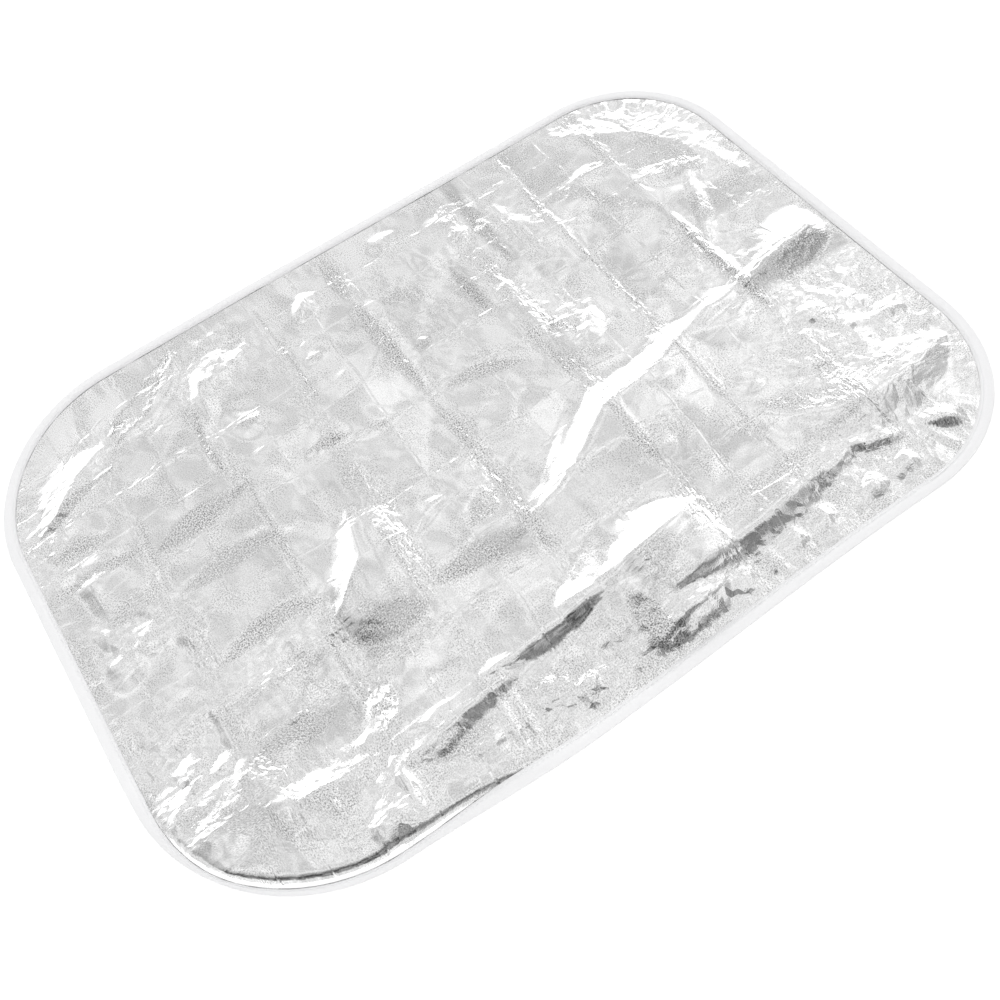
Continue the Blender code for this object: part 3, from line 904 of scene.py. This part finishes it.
def gathers(edge_x, edge_y, inside):
    """Short wrinkles that run in from the tape, square to it, where the sewing draws the cloth up.

    They come in spells, weak and strong by turns, and are highest at the two right corners.
    """
    angle = np.arctan2(edge_y / HALF_WIDTH, edge_x / HALF_LENGTH)
    place = angle * (HALF_LENGTH + HALF_WIDTH) * 0.88
    wrinkle = bumps(place / GATHER_PITCH, 21) + 0.5 * bumps(place / GATHER_PITCH * 2.3, 22)
    strength = 0.55 + 0.45 * bumps(place / GATHER_SPELL, 23)
    corner = smooth((edge_x / MM - 250) / 90) * smooth((np.abs(edge_y) / MM - 60) / 90)
    strength = strength * (1 - corner) + CORNER_GATHERS * corner
    depth = np.clip((inside - RIM * 0.85) / (GATHER_REACH * (1 + 0.9 * corner)), 0, 1)
    return GATHER_HEIGHT * strength * wrinkle * smooth(depth * 6) * (1 - depth) ** 2


print("crumple in the middle:", round(float(crumple(np.zeros(1), np.zeros(1), 0.3)[0]) / MM, 1), "mm")

# %% [markdown]
# ## The cloth
#
# The sheet's middle surface comes first, as one grid of points. The outer strip is held straight in
# the tape. Where the near left rim stands on its tape, a round shoulder brings the cloth level
# again. Then the grid is moved half a thickness each way along its own normals, and the two layers
# are joined round the edge into one closed mesh.

# %% The cloth's middle surface
def cloth_point(u, v):
    """Where the cloth's middle lies over its plan: the rim's section, then the crumple on it."""
    edge_x, edge_y, in_x, in_y, inside, along = rim_of(u, v)
    turn = turn_of(along)
    draw = DRAW_IN * turn / TURN_ANGLE
    bend = np.clip((inside - RIM) / SHOULDER, 0, turn)
    strip = np.minimum(inside, RIM)
    flat = np.maximum(inside - RIM - SHOULDER * turn, 0)
    reach = draw + strip * np.cos(turn) + SHOULDER * (np.sin(turn) - np.sin(turn - bend)) + flat
    lost = inside - reach
    back_share = smooth(flat / BACK_SLOPE)
    reach = reach + lost * back_share
    rise = strip * np.sin(turn) + SHOULDER * (np.cos(turn - bend) - np.cos(turn))
    x = edge_x + in_x * reach
    y = edge_y + in_y * reach
    folds = crumple(edge_x + in_x * inside, edge_y + in_y * inside, inside - RIM)
    z = HALF_STACK * np.cos(turn) + rise * (1 - back_share) + folds + gathers(edge_x, edge_y, inside)
    return np.stack([x, sway(x, y), np.maximum(z, 0.6 * MM)], axis=-1)


def grid_normals(points):
    """Unit normals of a grid of points: the cross product of its two directions."""
    across = np.gradient(points, axis=1)
    along = np.gradient(points, axis=0)
    normal = np.cross(across, along)
    return normal / np.linalg.norm(normal, axis=-1, keepdims=True)


def quads(index):
    """The quads of a grid of vertex numbers, one row for each."""
    return np.stack([index[:-1, :-1], index[:-1, 1:], index[1:, 1:], index[1:, :-1]], axis=-1).reshape(-1, 4)


def mesh_from(name, points, faces):
    """A smooth-shaded mesh object from arrays of points and of four-sided faces."""
    mesh = bpy.data.meshes.new(name)
    mesh.vertices.add(len(points))
    mesh.vertices.foreach_set("co", points.astype(np.float32).ravel())
    mesh.loops.add(faces.size)
    mesh.loops.foreach_set("vertex_index", faces.astype(np.int32).ravel())
    mesh.polygons.add(len(faces))
    mesh.polygons.foreach_set("loop_start", np.arange(0, faces.size, 4, dtype=np.int32))
    mesh.update(calc_edges=True)
    mesh.validate()
    mesh.shade_smooth()
    obj = bpy.data.objects.new(name, mesh)
    bpy.context.scene.collection.objects.link(obj)
    return obj


print("the cover's centre:", cloth_point(np.zeros(1), np.zeros(1))[0].round(4).tolist())

# %% [markdown]
# With the middle surface known, the two layers are a few lines. The same cell stores what the
# finish has to know at each point: its place in plan, how crumpled it is, how much shade is painted
# on it, which panel it is in, and how near it lies to a crease.

# %% Make the cloth
CLOTH_COLUMNS = 274
CLOTH_ROWS = 180

across = np.linspace(-HALF_LENGTH + EDGE_INSET, HALF_LENGTH - EDGE_INSET, CLOTH_COLUMNS + 1)
along = np.linspace(-HALF_WIDTH + EDGE_INSET, HALF_WIDTH - EDGE_INSET, CLOTH_ROWS + 1)
u, v = np.meshgrid(across, along)
middle = cloth_point(u, v)
normal = grid_normals(middle)
upper = middle + normal * CLOTH / 2
lower = middle - normal * CLOTH / 2
count = middle[..., 0].size
top = np.arange(count).reshape(middle.shape[:2])
bottom = top + count
ring = np.concatenate([top[0, :-1], top[:-1, -1], top[-1, :0:-1], top[:0:-1, 0]])
next_ring = np.roll(ring, -1)
wall = np.stack([ring, ring + count, next_ring + count, next_ring], axis=-1)
faces = np.concatenate([quads(top), quads(bottom)[:, ::-1], wall])
points = np.concatenate([upper.reshape(-1, 3), lower.reshape(-1, 3)])
cloth = mesh_from("silver_cloth", points, faces)

plan_x = np.concatenate([u.ravel(), u.ravel()]) / MM
plan_y = np.concatenate([v.ravel(), v.ravel()]) / MM


def give_vectors(name, first, second):
    """Stores two numbers for each point of the cloth, as a vector that its material can read."""
    attribute = cloth.data.attributes.new(name, "FLOAT_VECTOR", "POINT")
    vectors = np.stack([first, second, 0 * first], axis=-1)
    attribute.data.foreach_set("vector", vectors.astype(np.float32).ravel())


straight = straightened(plan_x, plan_y)
unrest = np.interp(plan_y, (-200, 230), (1.0, 0.4))
give_vectors("plan", straight, plan_y)
give_vectors("crumple", crumple_share(plan_x, plan_y) * (0.4 + 0.6 * unrest), unrest)
give_vectors("dull", painted_shade_of(plan_x, plan_y), panel_shade_of(straight, plan_y))
give_vectors("panel_phase", *panel_phase(straight, plan_y))
down_strips = crease_strip(straight, plan_y, CREASES, 13, 5) * np.clip((plan_y + 215) / 20, 0.3, 1)
cross_strips = crease_strip(plan_y, straight, PANEL_Y[1:-1], 6, 25)
give_vectors("strips", down_strips, cross_strips)
print("cloth:", len(faces), "quads, highest point", round(float(upper[..., 2].max()) / MM, 1), "mm")

# %% [markdown]
# The coat of metal on woven cloth is neither a mirror nor paint. The threads under it scatter the
# reflection a little, and a fine grain sparkles where the light changes. So the finish is metal with
# a low roughness. It reads what the cloth's points hold, and all its patterns lie in the plan, in
# millimetres. The helpers make one pattern each.

# %% Patterns for the silver
silver, wire, principled = new_material("silver_finish")


def attribute(name):
    """A vector that the cloth's points hold."""
    return wire.node("ShaderNodeAttribute", {"attribute_name": name}, output="Vector")


def stretched(vector, per_mm_x, per_mm_y):
    """The plan in units of its own along each side, so that a pattern on it is drawn out."""
    scale = (per_mm_x, per_mm_y, 1.0)
    return wire.node("ShaderNodeVectorMath", {"operation": "MULTIPLY"}, {0: vector, 1: scale})


def shader_facets(vector, scale=1.0):
    """The same flat facets in nodes: the squared nearest distances of two scatters, subtracted."""
    flat = {"voronoi_dimensions": "2D"}
    moved = wire.node("ShaderNodeVectorMath", {"operation": "ADD"}, {0: vector, 1: (137.0, 59.0, 0.0)})
    first = wire.node("ShaderNodeTexVoronoi", flat, {"Vector": vector, "Scale": scale}, "Distance")
    second = wire.node("ShaderNodeTexVoronoi", flat, {"Vector": moved, "Scale": scale}, "Distance")
    return first * first - second * second


def noise(scale, detail=0.0):
    """Soft random blotches over the plan, `scale` of them to a millimetre."""
    inputs = {"Vector": plan, "Scale": scale, "Detail": detail}
    return wire.node("ShaderNodeTexNoise", {"noise_dimensions": "2D"}, inputs, "Fac")


def clamped(value, low, high):
    """A wire's value stretched so that low gives 0 and high gives 1, and no more than that."""
    return ((value - low) / (high - low)).held()


plan = attribute("plan")
stored = [item.name for item in cloth.data.attributes if item.data_type == "FLOAT_VECTOR"]
print("stored on the cloth:", stored)

# %% [markdown]
# The bump has four parts: thin lines between the panels, raised in some places and sunk in others,
# then small flat facets where the cloth is crumpled, by the same trick of two squared distances,
# then the same facets drawn out beside the creases, and a fine grain everywhere. The colour is that
# of bright aluminium, speckled by the threads, and darkened with painted shade in the runs beside
# the creases, in the crease strips and over the shaded panels.

# %% Silver finish
GRAIN_SCALE = 0.9
GRAIN_HEIGHT = 0.2
PANEL_SIZE = 50.0
LINE_WIDTH = 1.8
SILVER_GREY = 0.93
# Painted shade in the runs beside the creases
PAINTED_SHADE_LOSS = 0.22
# Painted shade along the crease strips
CREASE_SHADE_LOSS = 0.08
# Painted shade over whole panels
PANEL_SHADE_LOSS = 0.25
POLISH = 0.07

share, unrest = attribute("crumple").axis("X"), attribute("crumple").axis("Y")
dull, panel_shade = attribute("dull").axis("X"), attribute("dull").axis("Y")
down, cross = attribute("strips").axis("X"), attribute("strips").axis("Y")
phase_x = attribute("panel_phase").axis("X") + (noise(0.020) - 0.5) * 0.12
phase_y = attribute("panel_phase").axis("Y") + (noise(0.024) - 0.5) * 0.16

grain = noise(GRAIN_SCALE)
glint = noise(GRAIN_SCALE * 0.8, 1.0)
cloud = noise(0.009, 3.0)
wear = noise(0.03, 2.0)
worn = clamped(wear, 0.48, 0.62)
fresh = clamped(wear, 0.52, 0.38)
line_x = 1 - clamped(wire.math("PINGPONG", phase_x, 0.5) * PANEL_SIZE, 0.0, LINE_WIDTH)
line_y = 1 - clamped(wire.math("PINGPONG", phase_y, 0.5) * PANEL_SIZE, 0.0, LINE_WIDTH)
folded = line_x * worn * 0.25 - line_x * fresh * 0.22 + line_y * fresh * 0.16 - line_y * worn * 0.18
crushed = shader_facets(plan, 0.045) * (share * 1.6 + unrest * 0.15)
crushed = crushed + shader_facets(plan, 0.11) * (share * 0.9 + dull * 0.4 + unrest * 0.05)
zigzag = shader_facets(stretched(plan, 0.16, 0.09)) * (down + dull * 0.3) * (unrest * 0.9)
zigzag = zigzag + shader_facets(stretched(plan, 0.34, 0.17)) * (down + dull * 0.5) * (unrest * 0.5)
zigzag = zigzag + shader_facets(stretched(plan, 0.10, 0.20)) * cross * 0.5
relief = folded + crushed + zigzag + grain * (share * 0.4 + dull * 0.5 + 0.1) * GRAIN_HEIGHT
bump = wire.node("ShaderNodeBump", None, {"Height": relief, "Strength": 1.0, "Distance": 1.0 * MM}, "Normal")
connect(bump, principled, "Normal")
connect(cloud * 0.05 + dull * 0.05 + POLISH, principled, "Roughness")
speckled = clamped(wear, 0.42, 0.62) * 1.1 + dull * 1.2 + down * 0.6 + 0.42
# Painted shade: the base colour is darkened in the runs, the crease strips and the shaded panels, standing in
# for folds that reflect the studio's dim end
left_after_painted_shade = 1 - dull * PAINTED_SHADE_LOSS - down * CREASE_SHADE_LOSS - panel_shade * PANEL_SHADE_LOSS
connect(((glint - 0.5) * speckled + (cloud - 0.5) * 0.15 + SILVER_GREY) * left_after_painted_shade, principled, "Base Color")
principled.inputs["Metallic"].default_value = 1.0
cloth.data.materials.append(silver)
print("silver finish:", len(silver.node_tree.nodes), "nodes")

# %% [markdown]
# ## The tape
#
# The white tape is folded like a U over the cloth's edge. Its section is a closed outline: round the
# outside of the fold, along the lower leg, and back round the inside.

# %% The tape's section
STATIONS = 900
BEND_POINTS = 7
LEG_WAVE = 0.22 * MM
LEG_WAVE_PITCH = 14 * MM


def outline_stations(count):
    """Plan parameters of points evenly spread round the outline, from the middle of the near edge."""
    side_x, side_y = 2 * HALF_LENGTH, 2 * HALF_WIDTH
    t = np.arange(count) / count * (2 * side_x + 2 * side_y) + HALF_LENGTH
    t = t % (2 * side_x + 2 * side_y)
    stops = np.cumsum([0, side_x, side_y, side_x, side_y])
    u = np.interp(t, stops, np.array([-1, 1, 1, -1, -1]) * HALF_LENGTH)
    v = np.interp(t, stops, np.array([-1, -1, 1, 1, -1]) * HALF_WIDTH)
    return u, v


def tape_section():
    """The U's outline as (distance in, height over the middle), with two half circles as its bends."""
    turns = np.linspace(0, math.pi, BEND_POINTS)
    outer = HALF_STACK
    inner = SLOT / 2
    outer_bend = np.stack([outer * 0.8 * (1 - np.sin(turns)), outer * np.cos(turns)], axis=-1)
    inner_bend = np.stack([TAPE + inner * 0.8 * (1 - np.sin(turns)), inner * np.cos(turns)], axis=-1)[::-1]
    legs_out = np.array([[TAPE_REACH * 0.5, -outer], [TAPE_REACH, -outer]])
    legs_in = np.array([[TAPE_REACH, -inner], [TAPE_REACH * 0.5, -inner]])
    upper_in = np.array([[TAPE_REACH * 0.5, inner], [TAPE_REACH, inner]])
    upper_out = np.array([[TAPE_REACH, outer], [TAPE_REACH * 0.5, outer]])
    return np.concatenate([outer_bend, legs_out, legs_in, inner_bend, upper_in, upper_out])


def at_rim(turn, inside, above):
    """How far in and how high a point of the section comes, when the rim turns it by its angle."""
    reach = DRAW_IN * turn / TURN_ANGLE + inside * np.cos(turn) - above * np.sin(turn)
    return reach, HALF_STACK * np.cos(turn) + inside * np.sin(turn) + above * np.cos(turn)


print("points in the section:", len(tape_section()))

# %% [markdown]
# That outline is carried round the cover at the rim's own angle, and the last ring is joined to the
# first. The sewing pulls the upper leg into low waves.

# %% Make the tape
station_u, station_v = outline_stations(STATIONS)
edge_x, edge_y, in_x, in_y, _, rim_place = rim_of(station_u, station_v)
section = tape_section()
step = np.hypot(np.diff(edge_x, append=edge_x[:1]), np.diff(edge_y, append=edge_y[:1]))
run = np.concatenate([[0], np.cumsum(step)[:-1]])
inside = section[None, :, 0]
above = section[None, :, 1]
wave = LEG_WAVE * bumps(run / LEG_WAVE_PITCH, 31)[:, None] * (above > 0)
above = above + wave * (inside / TAPE_REACH) ** 2
reach, tape_z = at_rim(turn_of(rim_place)[:, None], inside, above)
tape_x = edge_x[:, None] + in_x[:, None] * reach
tape_y = edge_y[:, None] + in_y[:, None] * reach
tape_points = np.stack([tape_x, sway(tape_x, tape_y), tape_z], axis=-1)
index = np.arange(tape_points[..., 0].size).reshape(tape_points.shape[:2])
index = np.concatenate([index, index[:1]])
index = np.concatenate([index, index[:, :1]], axis=1)
tape = mesh_from("white_tape", tape_points.reshape(-1, 3), quads(index))
print("tape:", round(float(run[-1] + step[-1]), 3), "m round")

# %% [markdown]
# One line of stitches holds the tape, on top and underneath. Each stitch is a short spindle of
# thread that lies along the tape, sunk into it by about a third, and thins towards both ends.

# %% Make the stitches
STITCHES = 620
STITCH_INSET = 2.6 * MM
THREAD = 0.24 * MM
THREAD_RISE = 0.4 * THREAD
SPINDLE = ((-0.40, 0.45), (-0.24, 1.0), (0.0, 1.1), (0.24, 1.0), (0.40, 0.45))
THREAD_SIDES = 6


def stitch_line(side):
    """Points of the spindles on the tape's upper side (1) or under side (-1), as (stitch, ring, side)."""
    edge_x, edge_y, in_x, in_y, _, rim_place = rim_of(*outline_stations(STITCHES))
    turn = turn_of(rim_place)
    pitch = (run[-1] + step[-1]) / STITCHES
    reach, height = at_rim(turn, TAPE_REACH - STITCH_INSET, side * (HALF_STACK + THREAD_RISE))
    centre = np.stack([edge_x + in_x * reach, edge_y + in_y * reach, height], axis=-1)
    inward = np.stack([in_x * np.cos(turn), in_y * np.cos(turn), np.sin(turn)], axis=-1)
    along = np.stack([in_y, -in_x, 0 * in_x], axis=-1)
    out = np.cross(inward, along)
    rings = []
    for place, girth in SPINDLE:
        for corner in range(THREAD_SIDES):
            angle = 2 * math.pi * corner / THREAD_SIDES
            offset = inward * math.cos(angle) + out * math.sin(angle)
            rings.append(centre + along * place * pitch + offset * THREAD * girth)
    points = np.stack(rings, axis=1).reshape(STITCHES, len(SPINDLE), THREAD_SIDES, 3)
    points[..., 1] = sway(points[..., 0], points[..., 1])
    return points


spindles = np.concatenate([stitch_line(1), stitch_line(-1)])
spindles[..., 2] = np.maximum(spindles[..., 2], 0.05 * MM)
number = np.arange(spindles[..., 0].size).reshape(spindles.shape[:3])
number = np.concatenate([number, number[:, :, :1]], axis=2)
sides = np.stack([number[:, :-1, :-1], number[:, :-1, 1:], number[:, 1:, 1:], number[:, 1:, :-1]], axis=-1)
caps = [number[:, 0, 3::-1], number[:, 0, [0, 5, 4, 3]], number[:, -1, :4], number[:, -1, [3, 4, 5, 0]]]
stitch_faces = np.concatenate([sides.reshape(-1, 4), *caps])
thread = mesh_from("sewing_thread", spindles.reshape(-1, 3), stitch_faces)
print("stitches:", len(spindles), "faces:", len(stitch_faces))

# %% [markdown]
# Tape has fine ribs across it and is matt. The ribs follow the tape, so the material reads a UV map
# that runs along it in metres, not the place in the room. A fine noise in place is the fuzz of its
# threads, and also gives its white two close shades.

# %% Tape finish
RIB_PITCH = 0.7 * MM

uv = tape.data.uv_layers.new(name="tape_uv")
loops = np.empty(len(tape.data.loops), np.int32)
tape.data.loops.foreach_get("vertex_index", loops)
ring_u = np.repeat(run, len(section))
ring_v = np.tile(np.cumsum(np.hypot(*np.diff(section, axis=0, prepend=section[:1]).T)), STATIONS)
uv.data.foreach_set("uv", np.stack([ring_u[loops], ring_v[loops]], axis=-1).astype(np.float32).ravel())

tape_cloth, wire, principled = new_material("tape_cloth")
run_uv = wire.node("ShaderNodeUVMap", {"uv_map": "tape_uv"})
ribs = (run_uv.axis("X") * (2 * math.pi / RIB_PITCH)).sine()
place = wire.node("ShaderNodeTexCoord", output="Object")
fuzz = wire.node("ShaderNodeTexNoise", None, {"Vector": place, "Scale": 900.0, "Detail": 2.0}, "Fac")
bump = wire.node(
    "ShaderNodeBump", None, {"Height": ribs * 0.5 + fuzz, "Strength": 0.35, "Distance": 0.2 * MM}, "Normal")
connect(bump, principled, "Normal")
shade = wire.node(
    "ShaderNodeMix", {"data_type": "RGBA"},
    {"Factor": fuzz, 6: (0.91, 0.91, 0.92, 1), 7: (0.98, 0.98, 0.985, 1)}, 2)
connect(shade, principled, "Base Color")
principled.inputs["Roughness"].default_value = 0.8
principled.inputs["Sheen Weight"].default_value = 0.2
tape.data.materials.append(tape_cloth)
print("tape ribs every", RIB_PITCH / MM, "mm")

# %% [markdown]
# The thread is plain white polyester, a little smoother than the tape.

# %% Thread finish
THREAD_WHITE = (0.90, 0.90, 0.91, 1)

white_thread, wire, principled = new_material("white_thread")
principled.inputs["Base Color"].default_value = THREAD_WHITE
principled.inputs["Roughness"].default_value = 0.55
thread.data.materials.append(white_thread)
print("white of the thread:", THREAD_WHITE[:3])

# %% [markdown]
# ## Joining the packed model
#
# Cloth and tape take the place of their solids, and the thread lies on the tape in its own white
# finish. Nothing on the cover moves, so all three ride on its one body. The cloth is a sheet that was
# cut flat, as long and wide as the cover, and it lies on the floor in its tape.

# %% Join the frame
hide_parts("cover_sheet")
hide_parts("edge_binding")
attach(cloth, "root")
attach(tape, "root")
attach(thread, "root")

print("on the one body:", cloth.name, tape.name, thread.name)
